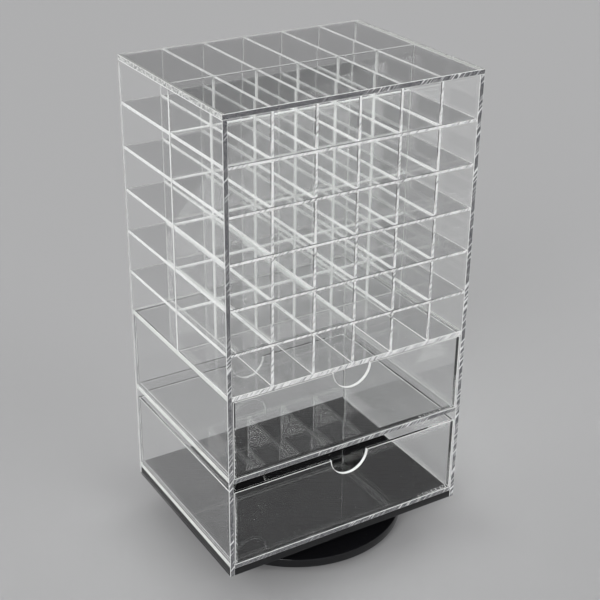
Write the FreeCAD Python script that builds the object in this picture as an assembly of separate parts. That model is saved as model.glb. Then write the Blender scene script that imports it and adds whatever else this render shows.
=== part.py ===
import FreeCAD, Part
import math
import os

# Rotating lipstick organizer: a tower of clear acrylic sheet on a turntable.
# The origin lies on the table under the turning axis. +Z is up and the front faces -Y.
# Sizes are in millimetres.

# Egg-crate of cells, one bank in front of the partition and one behind it
columns = 6
rows = 6
cell_width = 24.85
cell_height = 25.0
cell_depth = 62.5
grid_sheet = 2.0
partition_sheet = 2.0
slot_play = 0.1

# Case around the cells and the drawers
case_sheet = 3.0
base_sheet = 5.0

# Drawers
drawer_height = 50.8
drawer_sheet = 2.0
drawer_side_play = 0.6
drawer_running_gap = 0.1
upper_headroom = 0.4
lower_headroom = 6.3
notch_radius = 12.7

# Turntable bearing: an outer and an inner aluminium ring with balls between them
bearing_height = 8.0
bearing_radius = 50.0
ring_width = 8.0
ring_gap = 2.0
ring_clearance = 0.8
race_play = 0.1
ball_radius = 1.5875
ball_count = 6
screw_count = 3
screw_hole_radius = 1.7

# Cage that keeps the balls apart
cage_sheet = 1.2
cage_height = 4.6
cage_play = 0.12

# Round disc and its feet
disc_radius = 69.85
disc_sheet = 6.0
access_hole_radius = 5.0
foot_count = 4
foot_height = 5.3
foot_radius = 6.5
foot_inset = 13.0

# Widths and depths that follow
inner_width = columns * cell_width + (columns - 1) * grid_sheet
case_width = inner_width + 2 * case_sheet
case_depth = 2 * cell_depth + partition_sheet
drawer_width = inner_width - 2 * drawer_side_play
inner_edge = inner_width / 2
mouth_edge = case_depth / 2

# Levels that follow, from the table up
disc_level = foot_height
bearing_level = disc_level + disc_sheet
case_level = bearing_level + bearing_height
bottom_panel_level = case_level + base_sheet
lower_bay_level = bottom_panel_level + case_sheet
drawer_shelf_level = lower_bay_level + drawer_running_gap + drawer_height + lower_headroom
upper_bay_level = drawer_shelf_level + case_sheet
cell_floor_level = upper_bay_level + drawer_running_gap + drawer_height + upper_headroom
grid_level = cell_floor_level + case_sheet
top_panel_level = grid_level + rows * cell_height + (rows - 1) * grid_sheet

# Bearing sizes that follow. A groove has two flanks at 45 degrees that meet at its reach.
ball_level = bearing_level + bearing_height / 2
race_radius = bearing_radius - ring_width - ring_gap / 2
groove_reach = math.sqrt(2) * (ball_radius + race_play)
groove_half = groove_reach - ring_gap / 2


def save(name, *solids):
    """Writes one sub-part. Several solids stay separate in its file."""
    shape = solids[0] if len(solids) == 1 else Part.makeCompound(list(solids))
    shape.exportStep("parts/" + name + ".step")


def sheet(x, y, z):
    """A rectangular panel between the two ends given for each of X, Y and Z."""
    (left, right), (near, far), (low, high) = sorted(x), sorted(y), sorted(z)
    return Part.makeBox(right - left, far - near, high - low, FreeCAD.Vector(left, near, low))


def bar(radius, place, z):
    """An upright round bar or hole about a place given as X and Y."""
    low, high = sorted(z)
    return Part.makeCylinder(radius, high - low, FreeCAD.Vector(*place, low))


def profile(path):
    """A closed face in the XZ plane. A step of the path is a corner, or the middle and end of an arc."""
    points = [[FreeCAD.Vector(x, 0, z) for x, z in step] for step in path]
    edges = []
    start = points[-1][-1]
    for step in points:
        curve = Part.LineSegment(start, *step) if len(step) == 1 else Part.Arc(start, *step)
        edges.append(curve.toShape())
        start = step[-1]
    return Part.Face(Part.Wire(edges))


def spun(face):
    """A solid of revolution about the turning axis."""
    return face.revolve(FreeCAD.Vector(0, 0, 0), FreeCAD.Vector(0, 0, 1), 360)


def round_about(count, radius, start_angle):
    """Places spaced evenly round the turning axis."""
    for k in range(count):
        angle = math.radians(start_angle + 360 * k / count)
        yield radius * math.cos(angle), radius * math.sin(angle)


# Case


def top_panel():
    """The top lies over the upper edges of the side panels."""
    half = case_width / 2
    z = (top_panel_level, top_panel_level + case_sheet)
    return sheet((-half, half), (-mouth_edge, mouth_edge), z)


def side_panel(side):
    """A side runs from the underside of the base plate to the top panel."""
    x = (side * inner_edge, side * (inner_edge + case_sheet))
    return sheet(x, (-mouth_edge, mouth_edge), (case_level, top_panel_level))


def level_panel(level, thickness):
    """A level panel is cemented between the sides and runs from the front to the back."""
    return sheet((-inner_edge, inner_edge), (-mouth_edge, mouth_edge), (level, level + thickness))


def centre_partition():
    """The partition stands on the cell floor and closes the rear of both banks of cells."""
    half = partition_sheet / 2
    return sheet((-inner_edge, inner_edge), (-half, half), (grid_level, top_panel_level))


# Egg-crate of cells. A bank is -1 for the front and 1 for the back.


def bank_ends(bank):
    """The mouth of a bank's cells, the middle of their depth, and the partition behind them."""
    mouth = bank * mouth_edge
    rear = bank * partition_sheet / 2
    return mouth, (mouth + rear) / 2, rear


def divider_middle(number):
    """The X of a divider, counted from 1 at the left."""
    return -inner_edge + number * (cell_width + grid_sheet) - grid_sheet / 2


def shelf_middle(number):
    """The Z of a cell shelf, counted from 1 at the top."""
    return top_panel_level - number * (cell_height + grid_sheet) + grid_sheet / 2


def around(middle, play=0.0):
    """From one face of a grid sheet to the other, widened by the play of a slot."""
    half = grid_sheet / 2 + play
    return middle - half, middle + half


def cell_shelf(bank, number):
    """A shelf has a whole edge at the mouths of the cells, and slots for the dividers from the rear."""
    mouth, middle, rear = bank_ends(bank)
    z = around(shelf_middle(number))
    shelf = sheet((-inner_edge, inner_edge), (mouth, rear), z)
    for k in range(1, columns):
        x = around(divider_middle(k), slot_play)
        shelf = shelf.cut(sheet(x, (middle + bank * slot_play, rear), z))
    return shelf


def cell_divider(bank, number):
    """A divider has a whole edge at the partition, and slots for the shelves from the mouths."""
    mouth, middle, rear = bank_ends(bank)
    x = around(divider_middle(number))
    divider = sheet(x, (mouth, rear), (grid_level, top_panel_level))
    for k in range(1, rows):
        z = around(shelf_middle(k), slot_play)
        divider = divider.cut(sheet(x, (mouth, middle - bank * slot_play), z))
    return divider


# Drawers


def notched_panel(low, high, y):
    """The front or the back of a drawer, with a half-round finger notch in its upper edge."""
    half = drawer_width / 2
    outline = profile([
        [(-half, high)],
        [(-half, low)],
        [(half, low)],
        [(half, high)],
        [(notch_radius, high)],
        [(0, high - notch_radius), (-notch_radius, high)],
    ])
    outline.translate(FreeCAD.Vector(0, y, 0))
    return outline.extrude(FreeCAD.Vector(0, drawer_sheet, 0))


def drawer(name, bay_level):
    """A drawer is five cemented panels. The front and the back cover the ends of the others."""
    low = bay_level + drawer_running_gap
    high = low + drawer_height
    outer = drawer_width / 2
    inner = outer - drawer_sheet
    end = mouth_edge - drawer_sheet
    save(name + "_front", notched_panel(low, high, -mouth_edge))
    save(name + "_back", notched_panel(low, high, end))
    save(name + "_left_wall", sheet((-outer, -inner), (-end, end), (low, high)))
    save(name + "_right_wall", sheet((inner, outer), (-end, end), (low, high)))
    save(name + "_floor", sheet((-inner, inner), (-end, end), (low, low + drawer_sheet)))


# Turntable bearing


def bearing_ring(way, z):
    """A ring with a groove for the balls: the outer ring with a way of 1, the inner one with -1."""
    low, high = z
    face = race_radius + way * ring_gap / 2
    back = face + way * ring_width
    ring = spun(profile([
        [(back, low)],
        [(back, high)],
        [(face, high)],
        [(face, ball_level + groove_half)],
        [(race_radius + way * groove_reach, ball_level)],
        [(face, ball_level - groove_half)],
        [(face, low)],
    ]))
    for place in round_about(screw_count, screw_circle(way), 90):
        ring = ring.cut(bar(screw_hole_radius, place, z))
    return ring


def screw_circle(way):
    """The screws stand in the middle of a ring's width."""
    return race_radius + way * (ring_gap + ring_width) / 2


def outer_ring():
    """The outer ring is screwed down on the disc and clears the base plate above it."""
    return bearing_ring(1, (bearing_level, case_level - ring_clearance))


def inner_ring():
    """The inner ring is screwed up to the base plate and clears the disc below it."""
    return bearing_ring(-1, (bearing_level + ring_clearance, case_level))


def balls():
    """The balls run between the two grooves."""
    for x, y in round_about(ball_count, race_radius, 0):
        yield Part.makeSphere(ball_radius, FreeCAD.Vector(x, y, ball_level))


def ball_cage():
    """A thin band between the rings, with a slot for each ball that opens downwards."""
    low, high = ball_level - cage_height / 2, ball_level + cage_height / 2
    band = bar(race_radius + cage_sheet / 2, (0, 0), (low, high))
    band = band.cut(bar(race_radius - cage_sheet / 2, (0, 0), (low, high)))
    half = ball_radius + cage_play
    x = (race_radius - ring_gap, race_radius + ring_gap)
    for k in range(ball_count):
        slot = sheet(x, (-half, half), (low, ball_level + half))
        slot.rotate(FreeCAD.Vector(0, 0, 0), FreeCAD.Vector(0, 0, 1), 360 * k / ball_count)
        band = band.cut(slot)
    return band


# Disc and feet


def base_disc():
    """The round disc, with a hole to reach the inner ring's screws through as the tower is turned."""
    z = (disc_level, bearing_level)
    return bar(disc_radius, (0, 0), z).cut(bar(access_hole_radius, (screw_circle(-1), 0), z))


def feet():
    """Round rubber feet stuck to the underside of the disc."""
    for place in round_about(foot_count, disc_radius - foot_inset, 45):
        yield bar(foot_radius, place, (0, disc_level))


def main():
    os.makedirs("parts", exist_ok=True)
    save("top_panel", top_panel())
    save("left_side_panel", side_panel(-1))
    save("right_side_panel", side_panel(1))
    save("cell_floor", level_panel(cell_floor_level, case_sheet))
    save("drawer_shelf", level_panel(drawer_shelf_level, case_sheet))
    save("bottom_panel", level_panel(bottom_panel_level, case_sheet))
    save("base_plate", level_panel(case_level, base_sheet))
    save("centre_partition", centre_partition())
    for bank, where in ((-1, "front"), (1, "rear")):
        for number in range(1, rows):
            save("%s_shelf_%d" % (where, number), cell_shelf(bank, number))
        for number in range(1, columns):
            save("%s_divider_%d" % (where, number), cell_divider(bank, number))
    drawer("upper_drawer", upper_bay_level)
    drawer("lower_drawer", lower_bay_level)
    save("bearing_outer_ring", outer_ring())
    save("bearing_inner_ring", inner_ring())
    save("bearing_balls", *balls())
    save("ball_cage", ball_cage())
    save("base_disc", base_disc())
    save("rubber_feet", *feet())


main()
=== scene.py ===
import math

import bmesh
import bpy
from mathutils import Matrix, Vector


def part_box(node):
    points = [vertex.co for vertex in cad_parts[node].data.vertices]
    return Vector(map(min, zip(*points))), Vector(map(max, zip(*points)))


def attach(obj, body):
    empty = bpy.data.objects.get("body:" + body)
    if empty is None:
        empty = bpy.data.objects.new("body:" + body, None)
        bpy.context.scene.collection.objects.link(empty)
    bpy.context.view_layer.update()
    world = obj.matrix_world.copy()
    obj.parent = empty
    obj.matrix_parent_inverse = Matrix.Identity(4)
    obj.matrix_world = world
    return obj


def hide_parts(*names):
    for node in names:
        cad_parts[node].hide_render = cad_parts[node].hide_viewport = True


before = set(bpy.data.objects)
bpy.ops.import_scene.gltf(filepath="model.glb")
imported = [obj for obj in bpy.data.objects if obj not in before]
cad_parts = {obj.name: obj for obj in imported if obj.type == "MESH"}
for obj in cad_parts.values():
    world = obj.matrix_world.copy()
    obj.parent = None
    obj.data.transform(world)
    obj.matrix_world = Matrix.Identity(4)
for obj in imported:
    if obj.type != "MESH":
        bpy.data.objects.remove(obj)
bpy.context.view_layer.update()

# Floor: a plain table top, painted a matt pale grey. It runs so far back that it is the background
# too, and the organizer's shadow falls on it.
floor_grey = (0.43, 0.43, 0.435, 1)
floor_half = 40.0
floor_roughness = 0.9
floor_shine = 0.1


def shader_tree(name):
    """A new material with its node tree and the principled shader in it."""
    made = bpy.data.materials.new(name)
    made.use_nodes = True
    return made, made.node_tree, made.node_tree.nodes["Principled BSDF"]


floor_material, _, floor_shader = shader_tree("painted_floor")
floor_shader.inputs["Base Color"].default_value = floor_grey
floor_shader.inputs["Roughness"].default_value = floor_roughness
floor_shader.inputs["Specular IOR Level"].default_value = floor_shine
floor_mesh = bpy.data.meshes.new("floor")
floor_shape = bmesh.new()
bmesh.ops.create_grid(floor_shape, x_segments=1, y_segments=1, size=floor_half)
floor_shape.to_mesh(floor_mesh)
floor_shape.free()
floor_mesh.materials.append(floor_material)
floor = bpy.data.objects.new("floor", floor_mesh)
bpy.context.scene.collection.objects.link(floor)

# Room: walls as grey as the floor under a dark ceiling, whose mirror image darkens the level sheets
# so that their white edges stand out. The wall turns into the ceiling between two angles above the
# floor, given by their sines. A matt surface is lit by an even soft white instead.
room_grey = (0.435, 0.435, 0.44, 1)
ceiling_grey = (0.03, 0.03, 0.032, 1)
wall_top = 0.16
ceiling_edge = 0.28
soft_white = (1, 1, 1, 1)
soft_level = 0.42

# The two colours that go into a mix node and the one that comes out, by number, because the node
# has more sockets of the same names.
mix_first = 6
mix_second = 7
mix_result = 2


def add_range(tree, value, low, high, to_low=0.0, to_high=1.0):
    """A value mapped from one range to another and kept inside it."""
    node = tree.nodes.new("ShaderNodeMapRange")
    node.inputs["From Min"].default_value = low
    node.inputs["From Max"].default_value = high
    node.inputs["To Min"].default_value = to_low
    node.inputs["To Max"].default_value = to_high
    tree.links.new(value, node.inputs["Value"])
    return node.outputs["Result"]


def add_mix(tree, share, first, second):
    """A colour between two by a share. Each of the two is a colour or a socket that gives one."""
    node = tree.nodes.new("ShaderNodeMix")
    node.data_type = "RGBA"
    for number, colour in ((mix_first, first), (mix_second, second)):
        if isinstance(colour, tuple):
            node.inputs[number].default_value = colour
        else:
            tree.links.new(colour, node.inputs[number])
    tree.links.new(share, node.inputs["Factor"])
    return node.outputs[mix_result]


room = bpy.data.worlds.new("room")
bpy.context.scene.world = room
room.use_nodes = True
room_tree = room.node_tree
way = room_tree.nodes.new("ShaderNodeTexCoord")
way_parts = room_tree.nodes.new("ShaderNodeSeparateXYZ")
room_tree.links.new(way.outputs["Generated"], way_parts.inputs["Vector"])
rise = add_range(room_tree, way_parts.outputs["Z"], wall_top, ceiling_edge)
rise.node.interpolation_type = "SMOOTHSTEP"
room_seen = room_tree.nodes["Background"]
room_tree.links.new(add_mix(room_tree, rise, room_grey, ceiling_grey), room_seen.inputs["Color"])
room_light = room_tree.nodes.new("ShaderNodeBackground")
room_light.inputs["Color"].default_value = soft_white
room_light.inputs["Strength"].default_value = soft_level
room_rays = room_tree.nodes.new("ShaderNodeLightPath")
room_mix = room_tree.nodes.new("ShaderNodeMixShader")
room_tree.links.new(room_rays.outputs["Diffuse Depth"], room_mix.inputs["Fac"])
room_tree.links.new(room_seen.outputs["Background"], room_mix.inputs[1])
room_tree.links.new(room_light.outputs["Background"], room_mix.inputs[2])
room_tree.links.new(room_mix.outputs["Shader"], room_tree.nodes["World Output"].inputs["Surface"])

# Lamps: four wide soft ones, far off and low, so that the upright edges of the sheets are lit from
# all sides. An azimuth of 0 is straight in front, and one of 90 is at the right.
lamp_width = math.radians(30)


def soft_lamp(name, azimuth, elevation, level, mirrored=True):
    """A lamp not seen through the clear sheets. A white face turned to it shows its level."""
    light = bpy.data.lights.new(name, "SUN")
    light.angle = lamp_width
    light.energy = level * math.pi
    lamp = bpy.data.objects.new(name, light)
    lamp.visible_transmission = False
    lamp.visible_glossy = mirrored
    tilt = Matrix.Rotation(math.pi / 2 - math.radians(elevation), 4, "X")
    lamp.matrix_world = Matrix.Rotation(math.radians(azimuth), 4, "Z") @ tilt
    bpy.context.scene.collection.objects.link(lamp)


soft_lamp("lamp_front_left", -50, 28, 0.52)
soft_lamp("lamp_front_right", 32, 25, 0.22, mirrored=False)
soft_lamp("lamp_back_right", 118, 30, 0.24)
soft_lamp("lamp_back_left", -140, 30, 0.22)

# Camera: left of the front and looking down, at the photograph's place and angle. Everything that
# it sees is sharp.
camera_place = (-0.3624, -0.5966, 0.5011)
camera_azimuth = math.radians(-31.452)
camera_elevation = math.radians(26.364)
camera_roll = math.radians(0.602)
camera_lens = 76.1
camera_sensor = 36.0
camera_near = 0.01
lens = bpy.data.cameras.new("camera")
lens.sensor_width = camera_sensor
lens.lens = camera_lens
lens.clip_start = camera_near
camera = bpy.data.objects.new("camera", lens)
camera_tilt = Matrix.Rotation(math.pi / 2 - camera_elevation, 4, "X")
camera_turn = Matrix.Rotation(camera_azimuth, 4, "Z") @ camera_tilt
camera_turn = camera_turn @ Matrix.Rotation(camera_roll, 4, "Z")
camera.matrix_world = Matrix.Translation(camera_place) @ camera_turn
bpy.context.scene.collection.objects.link(camera)
bpy.context.scene.camera = camera
bpy.context.scene.view_settings.view_transform = "Standard"

# Light paths: a look into the egg-crate passes dozens of sheet faces, so a ray is followed that
# far. Light that a sheet bends still reaches what is behind it.
sheet_bounces = 64
mirror_bounces = 12
matt_bounces = 3
shadow_bounces = 128
light_paths = bpy.context.scene.cycles
light_paths.max_bounces = sheet_bounces
light_paths.transmission_bounces = sheet_bounces
light_paths.glossy_bounces = mirror_bounces
light_paths.diffuse_bounces = matt_bounces
light_paths.transparent_max_bounces = shadow_bounces
light_paths.caustics_reflective = False
light_paths.caustics_refractive = True

# Bottom panel: clear cast acrylic with polished faces, cemented between the side panels and bonded
# all over to the black base plate. Its front and back edges are left as sawn, with a lightly
# scraped corner, and every edge that meets another sheet is white with the cement. Between the saw
# marks, the sawn edges' dark core is painted shade, which stands in for the dark seen through the
# clear edge.
acrylic_ior = 1.49
clear_tint = (0.992, 0.994, 0.993, 1)
edge_white_and_painted_light = (0.93, 0.935, 0.93, 1)
edge_dull = (0.78, 0.79, 0.785, 1)
cement_light = (0.82, 0.84, 0.81, 1)
cement_dark = (0.68, 0.7, 0.67, 1)
case_cut = (0.84, 0.845, 0.85, 1)
# Painted shade: the near black core of a sawn edge, between its saw marks.
case_core_painted_shade = (0.055, 0.056, 0.064, 1)
bond_light = (0.005, 0.005, 0.006, 1)
bond_dark = (0.003, 0.003, 0.004, 1)
edge_roughness = 0.45
edge_grain = 1100
cement_grain = 900
bond_grain = 600
bond_roughness = 1.0
frost_depth = 0.00002
cement_gap = 0.00003
scrape = 0.00025
open_reach = 0.0004
weld_reach = 0.000002
flat_turn = math.radians(0.5)
corner_turn = math.radians(25)

# Dust: one cell of the pattern in a few has a speck, which fades out between two distances.
dust_cells = 420
dust_speck = (0.05, 0.11)
dust_shuffle = 3000
dust_share = 0.42
dust_level = 0.3

# Saw marks: the distance from one tooth's mark to the next, how much of an edge they cover, how
# they slant and wander, and the levels of noise between which marks, patches and grit come in.
case_pitch = 0.0024
case_cover = 0.5
case_growth = (1.5, 0.0, 0.0)
saw_depth = 0.0002
saw_roughness = 0.4
saw_slant = 0.16
saw_wander = 3.0
saw_wander_scale = 0.45
saw_row = (-0.3, 0.6)
saw_chance = (0.4, 0.55)
saw_patch_scale = 45
saw_patch = (0.85, 1.1)
saw_grit_scale = 1500
saw_grit = (0.4, 0.65)
saw_grit_level = 0.25

# A face that looks straight across its sheet has a lie of 1, and an edge has a lie of 0. Scraped
# corners lie between them. The arc of a finger notch looks along no axis, and is shaded smooth.
face_lie = 0.98
corner_lie = 0.2
edge_lie = 0.9
arc_lie = 0.3
straight_lie = 0.9999


def effect_group(name, inputs, outputs):
    """A new node group with its named sockets, and its two end nodes."""
    group = bpy.data.node_groups.new(name, "ShaderNodeTree")
    place = group.interface.new_socket("Place", in_out="INPUT", socket_type="NodeSocketVector")
    place.hide_value = True
    for socket, value in inputs.items():
        kind = "NodeSocketVector" if isinstance(value, tuple) else "NodeSocketFloat"
        group.interface.new_socket(socket, in_out="INPUT", socket_type=kind).default_value = value
    for socket in outputs:
        group.interface.new_socket(socket, in_out="OUTPUT", socket_type="NodeSocketFloat")
    return group, group.nodes.new("NodeGroupInput"), group.nodes.new("NodeGroupOutput")


def place_group(tree, group, **values):
    """A group in a material, fed with the piece's own coordinates."""
    node = tree.nodes.new("ShaderNodeGroup")
    node.node_tree = group
    for socket, value in values.items():
        node.inputs[socket].default_value = value
    where = tree.nodes.new("ShaderNodeTexCoord")
    tree.links.new(where.outputs["Object"], node.inputs["Place"])
    return node


def add_math(tree, operation, first, second=None):
    """A math node fed by sockets or plain numbers, and its output."""
    node = tree.nodes.new("ShaderNodeMath")
    node.operation = operation
    for socket, value in zip(node.inputs, (first, second)):
        if isinstance(value, (int, float)):
            socket.default_value = value
        elif value is not None:
            tree.links.new(value, socket)
    return node.outputs["Value"]


def add_noise(tree, place, scale, detail=2.0):
    """A noise texture of a scale per metre, and its value."""
    node = tree.nodes.new("ShaderNodeTexNoise")
    node.inputs["Detail"].default_value = detail
    if isinstance(scale, (int, float)):
        node.inputs["Scale"].default_value = scale
    else:
        tree.links.new(scale, node.inputs["Scale"])
    tree.links.new(place, node.inputs["Vector"])
    return node.outputs["Fac"]


def add_bump(tree, shader, height, depth):
    """A bump of a depth in metres on a shader's normal."""
    node = tree.nodes.new("ShaderNodeBump")
    node.inputs["Distance"].default_value = depth
    tree.links.new(height, node.inputs["Height"])
    tree.links.new(node.outputs["Normal"], shader.inputs["Normal"])


def dust_group():
    """Sparse specks of dust on a polished face, each in a cell of its own."""
    group, start, end = effect_group("dust", {"Specks": 0.5}, ["Rough"])
    cells = group.nodes.new("ShaderNodeTexVoronoi")
    cells.inputs["Scale"].default_value = dust_cells
    group.links.new(start.outputs["Place"], cells.inputs["Vector"])
    speck = add_range(group, cells.outputs["Distance"], *dust_speck, 1.0, 0.0)
    shuffled = add_noise(group, cells.outputs["Position"], dust_shuffle)
    chosen = add_math(group, "LESS_THAN", shuffled, dust_share)
    specks = add_math(group, "MULTIPLY", speck, chosen)
    specks = add_math(group, "MULTIPLY", specks, start.outputs["Specks"])
    group.links.new(specks, end.inputs["Rough"])
    return group


def grain_group():
    """A fine even grain that runs from 0 to 1 between two levels of its noise."""
    inputs = {"Scale": 1000.0, "Low": 0.35, "High": 0.6}
    group, start, end = effect_group("grain", inputs, ["Grain"])
    noise = add_noise(group, start.outputs["Place"], start.outputs["Scale"], 3.0)
    level = add_range(group, noise, 0.0, 1.0)
    group.links.new(start.outputs["Low"], level.node.inputs["From Min"])
    group.links.new(start.outputs["High"], level.node.inputs["From Max"])
    group.links.new(level, end.inputs["Grain"])
    return group


def saw_mark_group():
    """Short slanting tooth marks that come and go along a sawn edge, and grow in number one way."""
    inputs = {"Pitch": 0.002, "Cover": 0.5, "Growth": (0.0, 0.0, 0.0)}
    group, start, end = effect_group("saw_marks", inputs, ["Mark", "Height"])
    place = start.outputs["Place"]
    parts = group.nodes.new("ShaderNodeSeparateXYZ")
    group.links.new(place, parts.inputs["Vector"])
    level = add_math(group, "ADD", parts.outputs["X"], parts.outputs["Y"])
    across = add_math(group, "SUBTRACT", level, parts.outputs["Z"])
    across = add_math(group, "DIVIDE", across, start.outputs["Pitch"])
    along = add_math(group, "ADD", level, parts.outputs["Z"])
    along = add_math(group, "DIVIDE", along, start.outputs["Pitch"])
    slant = group.nodes.new("ShaderNodeCombineXYZ")
    group.links.new(across, slant.inputs["X"])
    group.links.new(add_math(group, "MULTIPLY", along, saw_slant), slant.inputs["Y"])
    wander = add_noise(group, slant.outputs["Vector"], saw_wander_scale, 1.0)
    wander = add_math(group, "MULTIPLY", wander, saw_wander)
    turns = add_math(group, "MULTIPLY", add_math(group, "ADD", across, wander), math.tau)
    row = add_range(group, add_math(group, "SINE", turns), *saw_row)
    chance = add_range(group, add_noise(group, slant.outputs["Vector"], 1.0, 1.0), *saw_chance)
    grown = group.nodes.new("ShaderNodeVectorMath")
    grown.operation = "DOT_PRODUCT"
    group.links.new(place, grown.inputs[0])
    group.links.new(start.outputs["Growth"], grown.inputs[1])
    spread = add_math(group, "ADD", grown.outputs["Value"], start.outputs["Cover"])
    spread = add_math(group, "ADD", add_noise(group, place, saw_patch_scale), spread)
    patch = add_range(group, spread, *saw_patch)
    grit = add_range(group, add_noise(group, place, saw_grit_scale), *saw_grit)
    mark = add_math(group, "MULTIPLY", add_math(group, "MULTIPLY", row, chance), patch)
    mark = add_math(group, "MAXIMUM", mark, add_math(group, "MULTIPLY", grit, saw_grit_level))
    group.links.new(mark, end.inputs["Mark"])
    group.links.new(add_math(group, "SUBTRACT", 1.0, mark), end.inputs["Height"])
    return group


dust = dust_group()
grain = grain_group()
saw_marks = saw_mark_group()


def sheet_face_material():
    """Polished clear acrylic. Lamps shine through it, dimmed a little at each face."""
    made, tree, shader = shader_tree("sheet_face")
    shader.inputs["Base Color"].default_value = clear_tint
    shader.inputs["IOR"].default_value = acrylic_ior
    shader.inputs["Transmission Weight"].default_value = 1.0
    rough = place_group(tree, dust, Specks=dust_level).outputs["Rough"]
    tree.links.new(rough, shader.inputs["Roughness"])
    rays = tree.nodes.new("ShaderNodeLightPath")
    through = tree.nodes.new("ShaderNodeBsdfTransparent")
    through.inputs["Color"].default_value = clear_tint
    both = tree.nodes.new("ShaderNodeMixShader")
    tree.links.new(rays.outputs["Is Shadow Ray"], both.inputs["Fac"])
    tree.links.new(shader.outputs["BSDF"], both.inputs[1])
    tree.links.new(through.outputs["BSDF"], both.inputs[2])
    tree.links.new(both.outputs["Shader"], tree.nodes["Material Output"].inputs["Surface"])
    return made


def grained_material(name, dark, light, scale, roughness, depth):
    """A matt plastic finish with a fine grain in its colour and its surface."""
    made, tree, shader = shader_tree(name)
    grit = place_group(tree, grain, Scale=scale).outputs["Grain"]
    tree.links.new(add_mix(tree, grit, dark, light), shader.inputs["Base Color"])
    add_bump(tree, shader, grit, depth)
    shader.inputs["Roughness"].default_value = roughness
    shader.inputs["IOR"].default_value = acrylic_ior
    return made


def sawn_edge_material(name, plain, mark, pitch, cover, growth):
    """A sawn edge with the teeth's marks, and painted light: its inside face is painted white."""
    made, tree, shader = shader_tree(name)
    marks = place_group(tree, saw_marks, Pitch=pitch, Cover=cover, Growth=growth)
    outside = add_mix(tree, marks.outputs["Mark"], plain, mark)
    # Painted light: seen from inside the sheet, the edge is painted white, as if lit through it.
    side = tree.nodes.new("ShaderNodeNewGeometry")
    colour = add_mix(tree, side.outputs["Backfacing"], outside, edge_white_and_painted_light)
    tree.links.new(colour, shader.inputs["Base Color"])
    add_bump(tree, shader, marks.outputs["Height"], saw_depth)
    shader.inputs["Roughness"].default_value = saw_roughness
    shader.inputs["IOR"].default_value = acrylic_ior
    return made


sheet_face = sheet_face_material()
bright_edge = grained_material(
    "bright_edge", edge_dull, edge_white_and_painted_light, edge_grain, edge_roughness, frost_depth
)
cemented_edge = grained_material(
    "cemented_edge", cement_dark, cement_light, cement_grain, edge_roughness, frost_depth
)
case_edge = sawn_edge_material(
    "sawn_case_edge_painted_light_and_shade", case_core_painted_shade, case_cut, case_pitch, case_cover, case_growth
)
bonded_black = grained_material(
    "bonded_black", bond_dark, bond_light, bond_grain, bond_roughness, frost_depth
)
bonded_black.node_tree.nodes["Principled BSDF"].inputs["Specular IOR Level"].default_value = 0.0


def merged_copy(node):
    """The node's surface as one welded shape of whole faces."""
    shape = bmesh.new()
    shape.from_mesh(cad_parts[node].data)
    bmesh.ops.remove_doubles(shape, verts=shape.verts, dist=weld_reach)
    bmesh.ops.dissolve_limit(shape, angle_limit=flat_turn, verts=shape.verts, edges=shape.edges)
    shape.normal_update()
    return shape


def scrape_edges(shape, width, segments=2):
    """Bevels every corner of a shape."""
    corners = [e for e in shape.edges if e.is_manifold and e.calc_face_angle() > corner_turn]
    bmesh.ops.bevel(
        shape, geom=corners, offset=width, offset_type="OFFSET", affect="EDGES",
        segments=segments, profile=0.5, material=-1, clamp_overlap=True,
    )


def finish_piece(shape, name, body, slot, *materials):
    """Makes the shape a piece of the scene that rides on a body."""
    mesh = bpy.data.meshes.new(name)
    shape.to_mesh(mesh)
    shape.free()
    for made in materials:
        mesh.materials.append(made)
    piece = bpy.data.objects.new(name, mesh)
    bpy.context.scene.collection.objects.link(piece)
    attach(piece, body)
    return piece


def clear_sheet(
    node, body, joint, corner,
    end_edge=None, side_edge=None, top_edge=None, foot_edge=None, under=None,
):
    """A clear sheet in place of its node. Edges without a finish of their own get the joint's."""
    low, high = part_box(node)
    end = max(-low.y, high.y) - open_reach
    side = max(-low.x, high.x) - open_reach
    across = min(range(3), key=lambda axis: high[axis] - low[axis])
    shape = merged_copy(node)
    for face in shape.faces:
        if abs(face.normal[across]) < corner_lie:
            bmesh.ops.translate(shape, verts=face.verts, vec=-cement_gap * face.normal)
    scrape_edges(shape, scrape)
    kinds = []
    for face in shape.faces:
        centre, normal = face.calc_center_median(), face.normal
        kind = joint
        if abs(normal[across]) > face_lie:
            kind = under if under and normal.z < -face_lie else sheet_face
        elif foot_edge and centre.z < low.z + open_reach:
            kind = foot_edge
        elif abs(normal[across]) > corner_lie:
            kind = corner if abs(centre.y) > end else bright_edge
        elif end_edge and abs(normal.y) > edge_lie and abs(centre.y) > end:
            kind = end_edge
        elif side_edge and abs(normal.x) > edge_lie and abs(centre.x) > side:
            kind = side_edge
        elif top_edge and normal.z > edge_lie and centre.z > high.z - open_reach:
            kind = top_edge
        if kind not in kinds:
            kinds.append(kind)
        face.material_index = kinds.index(kind)
        straight = max(abs(part) for part in normal) > straight_lie
        face.smooth = abs(normal[across]) < arc_lie and not straight
    piece = finish_piece(shape, node + "_sheet", body, "clear_acrylic", *kinds)
    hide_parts(node)


clear_sheet(
    "bottom_panel", "tower", cemented_edge, bright_edge, end_edge=case_edge, under=bonded_black,
)

# Side panels: the same clear sheet, running down past the base plate. The saw left more marks on
# the right one than on the left one, and more towards their lower ends.
side_pitch = 0.0034
side_cover = 0.64
side_growth = (1.2, 0.0, -0.4)
side_cut = sawn_edge_material(
    "sawn_side_edge_painted_light_and_shade", case_core_painted_shade, case_cut, side_pitch, side_cover, side_growth
)
for node in ("left_side_panel", "right_side_panel"):
    clear_sheet(node, "tower", cemented_edge, bright_edge, end_edge=side_cut, foot_edge=sheet_face)

# Drawer shelf: a clear sheet between the two drawers, cemented between the sides and sawn as the
# bottom panel is.
clear_sheet("drawer_shelf", "tower", cemented_edge, bright_edge, end_edge=case_edge)
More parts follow.
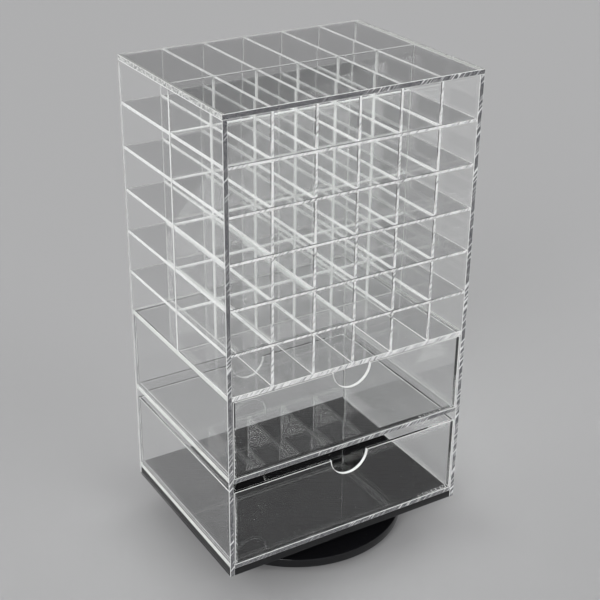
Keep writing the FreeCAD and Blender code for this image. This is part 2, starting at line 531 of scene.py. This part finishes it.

# Cell floor: the level sheet under the cells, cemented between the sides. A finer blade cut it, so
# that its front and back edges are white with fine grey marks. All sheets of the cells have such
# edges, with more marks to the right and low down. The greying lower down is partly painted shade:
# the marks are made to darken the lower edges, as if less light reached them.
grid_mark = (0.3, 0.305, 0.31, 1)
grid_pitch = 0.0021
grid_cover = 0.9
# Painted shade in part: the downward growth of grey marks darkens the lower edges.
grid_growth_and_painted_shade = (0.8, 0.0, -1.3)
grid_edge = sawn_edge_material(
    "sawn_grid_edge_painted_light_and_shade", edge_white_and_painted_light, grid_mark, grid_pitch, grid_cover, grid_growth_and_painted_shade
)
clear_sheet("cell_floor", "tower", cemented_edge, bright_edge, end_edge=grid_edge)

# Egg-crate of cells: a partition across the middle of the depth, and on either side of it five
# shelves and five dividers of thinner sheet with half-depth slots, pushed into each other and
# cemented. Their corners at the mouths of the cells are polished clear.
grid_nodes = [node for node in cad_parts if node.startswith(("front_", "rear_"))]
for node in ["centre_partition"] + sorted(grid_nodes):
    clear_sheet(node, "tower", bright_edge, sheet_face, end_edge=grid_edge)

# Top panel: a clear sheet laid over the side panels and cemented to their upper edges. Its left and
# right edges are sanded to a grey speckled frost, and the front and back ones are as sawn.
frost_light = (0.8, 0.81, 0.79, 1)
frost_dark = (0.27, 0.273, 0.275, 1)
frost_grain = 780
frosted_edge = grained_material(
    "frosted_edge", frost_dark, frost_light, frost_grain, edge_roughness, frost_depth
)
clear_sheet(
    "top_panel", "tower", cemented_edge, bright_edge, end_edge=case_edge, side_edge=frosted_edge,
)

# Drawers: five thin clear sheets each. The front and the back cover the ends of the walls and the
# floor, and have a half-round finger notch routed in their upper edge. The joints are clear, and
# the notches and the scraped corners are white.
for drawer in ("upper_drawer", "lower_drawer"):
    for part in ("_front", "_back"):
        clear_sheet(
            drawer + part, drawer, bright_edge, bright_edge,
            side_edge=case_edge, top_edge=sheet_face, foot_edge=sheet_face,
        )
    for part in ("_left_wall", "_right_wall", "_floor"):
        clear_sheet(drawer + part, drawer, sheet_face, sheet_face)

# Base plate and disc: glossy black acrylic, sawn and flame polished, with lightly broken edges. The
# square plate is bonded under the bottom panel, and the round disc stands on the table.
black = (0.006, 0.006, 0.007, 1)
black_roughness = 0.06
black_break = 0.0004
black_segments = 3
black_crease = 40


def smooth_piece(piece, angle):
    """Shades a piece smooth, with creases where its faces turn by more than an angle."""
    piece.data.shade_smooth()
    piece.data.set_sharp_from_angle(angle=math.radians(angle))


def black_material():
    """Polished black acrylic with dust on it."""
    made, tree, shader = shader_tree("black_acrylic_gloss")
    shader.inputs["Base Color"].default_value = black
    shader.inputs["IOR"].default_value = acrylic_ior
    rough = place_group(tree, dust, Specks=dust_level).outputs["Rough"]
    rough = add_math(tree, "ADD", rough, black_roughness)
    tree.links.new(rough, shader.inputs["Roughness"])
    return made


black_gloss = black_material()
for node, body in (("base_plate", "tower"), ("base_disc", "base")):
    shape = merged_copy(node)
    scrape_edges(shape, black_break, black_segments)
    piece = finish_piece(shape, node + "_black", body, "black_acrylic", black_gloss)
    smooth_piece(piece, black_crease)
    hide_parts(node)

# Bearing rings: turned from aluminium, with the fine rings of the lathe. The outer one is screwed
# down on the disc and the inner one up to the base plate, and the balls run in a groove between.
aluminium = (0.76, 0.77, 0.78, 1)
aluminium_roughness = 0.3
metal_grain = 900.0
grain_levels = (0.3, 0.7)
grain_spread = 0.2
lathe_pitch = 0.00035
lathe_depth = 0.00001
ring_break = 0.00015
ring_crease = 30


def metal(name, colour, roughness):
    """A bare metal whose roughness changes with its grain."""
    made, tree, shader = shader_tree(name)
    shader.inputs["Base Color"].default_value = colour
    shader.inputs["Metallic"].default_value = 1.0
    low, high = grain_levels
    grit = place_group(tree, grain, Scale=metal_grain, Low=low, High=high).outputs["Grain"]
    smoothest, roughest = roughness * (1 - grain_spread), roughness * (1 + grain_spread)
    rough = add_range(tree, grit, 0.0, 1.0, smoothest, roughest)
    tree.links.new(rough, shader.inputs["Roughness"])
    return made, tree, shader


def turned_metal(name, colour, roughness):
    """A metal with lathe rings about the turning axis."""
    made, tree, shader = metal(name, colour, roughness)
    where = tree.nodes.new("ShaderNodeTexCoord")
    flat = tree.nodes.new("ShaderNodeVectorMath")
    flat.operation = "MULTIPLY"
    flat.inputs[1].default_value = (1, 1, 0)
    reach = tree.nodes.new("ShaderNodeVectorMath")
    reach.operation = "LENGTH"
    tree.links.new(where.outputs["Object"], flat.inputs[0])
    tree.links.new(flat.outputs["Vector"], reach.inputs[0])
    turns = add_math(tree, "MULTIPLY", reach.outputs["Value"], math.tau / lathe_pitch)
    add_bump(tree, shader, add_math(tree, "SINE", turns), lathe_depth)
    return made


turned_aluminium = turned_metal("turned_aluminium", aluminium, aluminium_roughness)
for node, body in (("bearing_outer_ring", "base"), ("bearing_inner_ring", "tower")):
    shape = merged_copy(node)
    scrape_edges(shape, ring_break)
    piece = finish_piece(shape, node + "_turned", body, "aluminium", turned_aluminium)
    smooth_piece(piece, ring_crease)
    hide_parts(node)

# Bearing balls: polished balls of chrome steel. They run in the grooves of the two rings and carry
# the whole tower.
chrome = (0.74, 0.74, 0.75, 1)
chrome_roughness = 0.08
ball_crease = 60
chrome_steel = metal("chrome_steel", chrome, chrome_roughness)[0]
shape = merged_copy("bearing_balls")
piece = finish_piece(shape, "bearing_balls_round", "ball_ring", "ball_steel", chrome_steel)
smooth_piece(piece, ball_crease)
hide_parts("bearing_balls")

# Ball cage: a thin moulded band of natural nylon between the two rings. Each ball stands in a slot
# that is open downwards, so that the balls keep apart.
nylon_light = (0.8, 0.775, 0.69, 1)
nylon_dark = (0.75, 0.72, 0.62, 1)
nylon_grain = 500
nylon_roughness = 0.45
nylon_depth = 0.00002
cage_crease = 30
nylon = grained_material(
    "natural_nylon", nylon_dark, nylon_light, nylon_grain, nylon_roughness, nylon_depth
)
piece = finish_piece(merged_copy("ball_cage"), "ball_cage_band", "ball_ring", "nylon", nylon)
smooth_piece(piece, cage_crease)
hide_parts("ball_cage")

# Screws: six small cross-recess screws of plated steel with sunk heads, three down through the
# outer ring into the disc and three up through the inner ring into the base plate.
screw_head = 0.0016
head_segments = 24
head_chamfer = 0.0001
screw_recess = 0.0009
recess_segments = 12
recess_depth = 0.0007
recess_corner = 0.36
recess_floor_share = 0.55
corner_reach = 0.00001
screw_sink = 0.0003
screw_count = 3
ring_width = 0.008
screw_crease = 35
plating = (0.66, 0.66, 0.64, 1)
plating_roughness = 0.25
plated_steel = metal("plated_steel", plating, plating_roughness)[0]

# Steps of a screw's side: a depth below the top of the head, and how far inside the head's edge the
# side lies there.
screw_steps = (
    (0.0003, 0.0001), (0.0011, 0.0001), (0.0011, 0.0004), (0.0084, 0.0004), (0.0092, 0.0013),
)


def ring_of_edges(shape, verts):
    """The edges that join some vertices to each other, in the order of the shape."""
    inside = set(verts)
    return [e for e in shape.edges if inside.issuperset(e.verts)]


def pull_loop(shape, edges, drop, radius):
    """Extrudes a loop about the Z axis down by a drop, to a new radius, and gives its new edges."""
    made = bmesh.ops.extrude_edge_only(shape, edges=edges)["geom"]
    verts = [item for item in made if isinstance(item, bmesh.types.BMVert)]
    now = max(vert.co.xy.length for vert in verts)
    bmesh.ops.scale(shape, verts=verts, vec=(radius / now, radius / now, 1))
    bmesh.ops.translate(shape, verts=verts, vec=(0, 0, -drop))
    return [item for item in made if isinstance(item, bmesh.types.BMEdge)]


def sort_faces(shape):
    """Puts faces in the order of their centres, because an extrusion makes them in any order."""
    placed = sorted(shape.faces, key=lambda face: face.calc_center_median()[:])
    ranks = {face: rank for rank, face in enumerate(placed)}
    shape.faces.sort(key=ranks.get)


def screw_mesh():
    """One screw on the Z axis, with the top of its head at the origin and its tip down."""
    shape = bmesh.new()
    head_edge = screw_head - head_chamfer
    rim = bmesh.ops.create_circle(shape, segments=head_segments, radius=head_edge)["verts"]
    cross = bmesh.ops.create_circle(shape, segments=recess_segments, radius=screw_recess)["verts"]
    half_step = Matrix.Rotation(math.pi / recess_segments, 3, "Z")
    bmesh.ops.rotate(shape, verts=cross, matrix=half_step)
    corners = [v for v in cross if abs(abs(v.co.x) - abs(v.co.y)) < corner_reach]
    bmesh.ops.scale(shape, verts=corners, vec=(recess_corner, recess_corner, 1))
    rim, cross = ring_of_edges(shape, rim), ring_of_edges(shape, cross)
    bmesh.ops.bridge_loops(shape, edges=rim + cross)
    recess_floor = pull_loop(shape, cross, recess_depth, screw_recess * recess_floor_share)
    bmesh.ops.edgeloop_fill(shape, edges=recess_floor)
    level = 0.0
    for depth, inset in screw_steps:
        rim = pull_loop(shape, rim, depth - level, screw_head - inset)
        level = depth
    bmesh.ops.edgeloop_fill(shape, edges=rim)
    bmesh.ops.recalc_face_normals(shape, faces=shape.faces)
    sort_faces(shape)
    mesh = bpy.data.meshes.new("screw")
    shape.to_mesh(mesh)
    shape.free()
    return mesh


one_screw = screw_mesh()
outer_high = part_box("bearing_outer_ring")[1]
inner_low, inner_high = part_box("bearing_inner_ring")
outer_circle, outer_level = outer_high.x - ring_width / 2, outer_high.z - screw_sink
inner_circle, inner_level = inner_high.x - ring_width / 2, inner_low.z + screw_sink
for name, body, circle, level, tip in (
    ("outer_ring_screws", "base", outer_circle, outer_level, 0.0),
    ("inner_ring_screws", "tower", inner_circle, inner_level, math.pi),
):
    shape = bmesh.new()
    for k in range(screw_count):
        shape.from_mesh(one_screw)
        added = shape.verts[-len(one_screw.vertices):]
        about = Matrix.Rotation(math.radians(90 + 360 * k / screw_count), 4, "Z")
        stand = Matrix.Translation((circle, 0, level)) @ Matrix.Rotation(tip, 4, "X")
        bmesh.ops.transform(shape, verts=added, matrix=about @ stand)
    piece = finish_piece(shape, name, body, "ball_steel", plated_steel)
    smooth_piece(piece, screw_crease)

# Feet: four round pads of soft black rubber, moulded with rounded rims. They are stuck under the
# disc.
rubber_light = (0.026, 0.026, 0.027, 1)
rubber_dark = (0.014, 0.014, 0.015, 1)
rubber_grain = 1500
rubber_roughness = 0.7
rubber_depth = 0.00004
foot_round = 0.0006
foot_segments = 3
foot_crease = 40
rubber = grained_material(
    "foot_rubber", rubber_dark, rubber_light, rubber_grain, rubber_roughness, rubber_depth
)
shape = merged_copy("rubber_feet")
scrape_edges(shape, foot_round, foot_segments)
piece = finish_piece(shape, "rubber_feet_round", "base", "rubber", rubber)
smooth_piece(piece, foot_crease)
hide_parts("rubber_feet")
